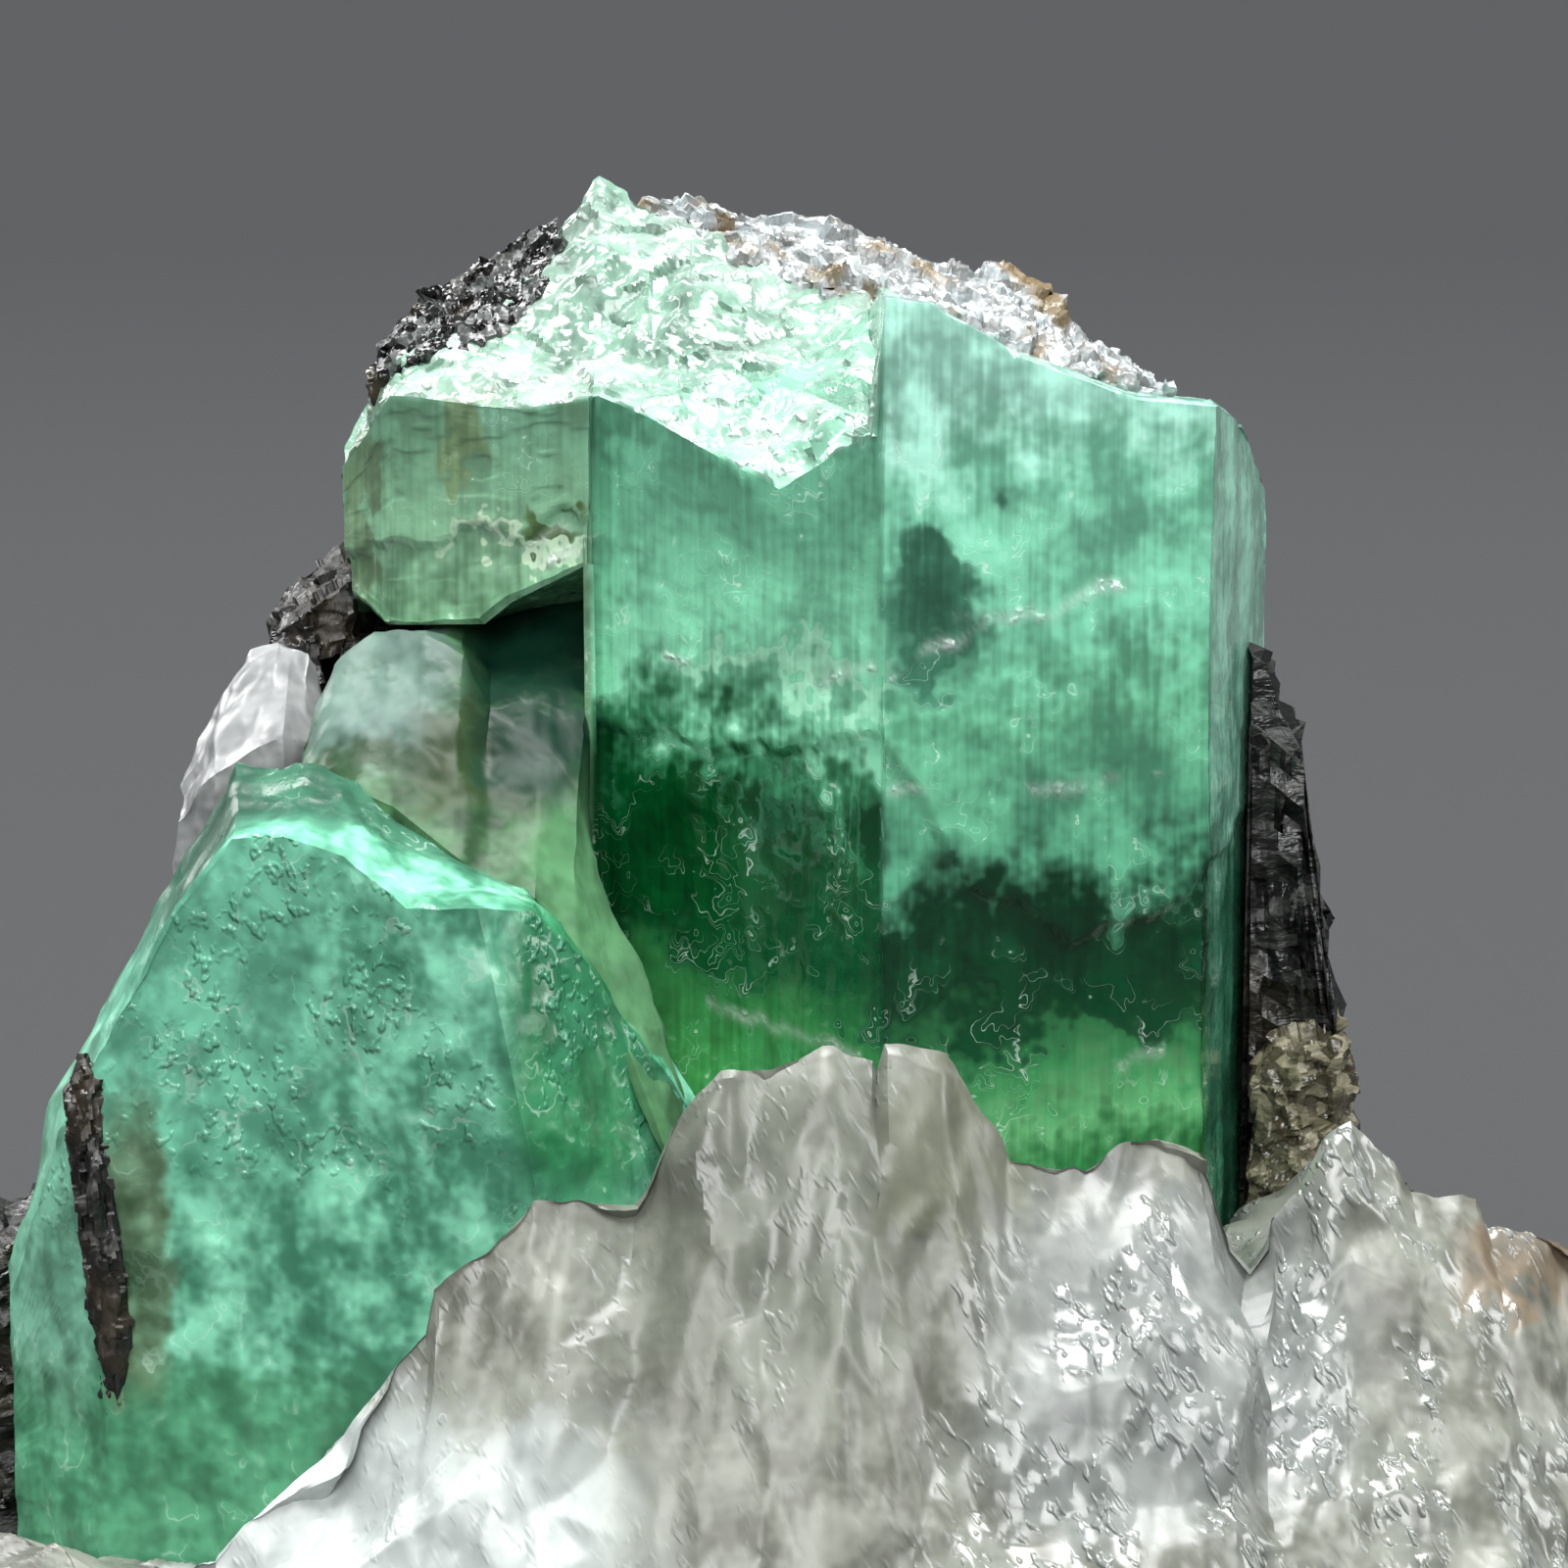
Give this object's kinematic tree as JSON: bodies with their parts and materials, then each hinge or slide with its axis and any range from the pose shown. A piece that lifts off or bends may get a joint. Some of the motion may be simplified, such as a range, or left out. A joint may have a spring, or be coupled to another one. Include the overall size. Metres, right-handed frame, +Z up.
{
  "type": "emerald crystal on quartz",
  "caption": "Mineral specimen: green emerald prisms standing in a broken quartz ridge, backed by dark mica schist, on a flat sawn base.",
  "frame": {"origin": "on the flat sawn base, under the big crystal", "axes": "+Z up along the big crystal, +X to the right as seen from the front, +Y to the back"},
  "size_m": [0.0368, 0.0255, 0.0309],
  "materials": {
    "emerald": "translucent green beryl, striated faces, broken top",
    "pale_emerald": "cloudy pale green beryl with glinting rough faces",
    "biotite": "dark brown glossy mica",
    "grey_quartz": "translucent greyish white broken quartz",
    "olive_quartz": "translucent olive-grey quartz",
    "white_quartz": "opaque white quartz",
    "schist": "dark flaky mica schist",
    "tan_mica": "tan layered mica",
    "mica_crust": "grey-brown glittering mica crust"
  },
  "bodies": {
    "root": {"main_emerald": "emerald", "side_emerald": "pale_emerald", "biotite_vein": "biotite", "quartz_matrix": "grey_quartz", "quartz_wedge": "olive_quartz", "quartz_chip": "white_quartz", "schist_backing": "schist", "left_mica": "biotite", "mica_book": "tan_mica", "top_mica_crust": "mica_crust", "slope_mica": "mica_crust"}
  },
  "joints": []
}
